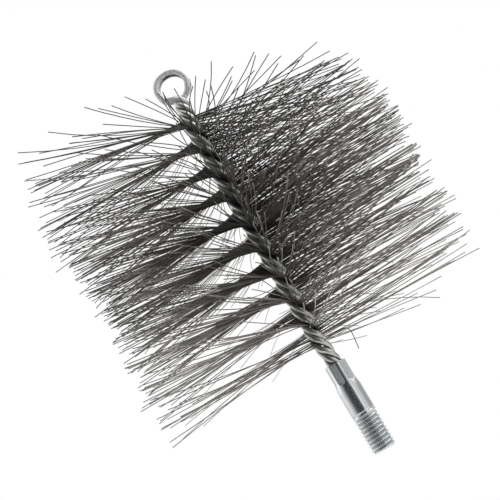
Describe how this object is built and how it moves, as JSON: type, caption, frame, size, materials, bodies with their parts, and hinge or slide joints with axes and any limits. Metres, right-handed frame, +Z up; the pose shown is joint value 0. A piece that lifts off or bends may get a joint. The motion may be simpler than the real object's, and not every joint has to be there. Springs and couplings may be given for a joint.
{
  "type": "chimney sweep brush",
  "caption": "Round twisted-wire flue brush with steel bristles in a spiral row, a pull eye at the top and a crimped ferrule with a rod thread below.",
  "frame": {"origin": "centre of the threaded end face, the end that screws into the sweep's rod", "axes": "+Z up the stem from the thread to the pull eye, -Y the front that the open pull eye faces, +X across the eye"},
  "size_m": [0.1893, 0.1893, 0.2232],
  "materials": {
    "ferrule_steel": "bright bluish zinc plating on turned steel",
    "stem_steel": "drawn galvanised wire, grey with bright streaks",
    "bristle_steel": "dark spring-steel wire, slightly brown"
  },
  "bodies": {
    "root": {"threaded_ferrule": "ferrule_steel", "stem_wire_front": "stem_steel", "stem_wire_back": "stem_steel", "bristle_section_1": "bristle_steel", "bristle_section_2": "bristle_steel", "bristle_section_3": "bristle_steel", "bristle_section_4": "bristle_steel"}
  },
  "joints": []
}
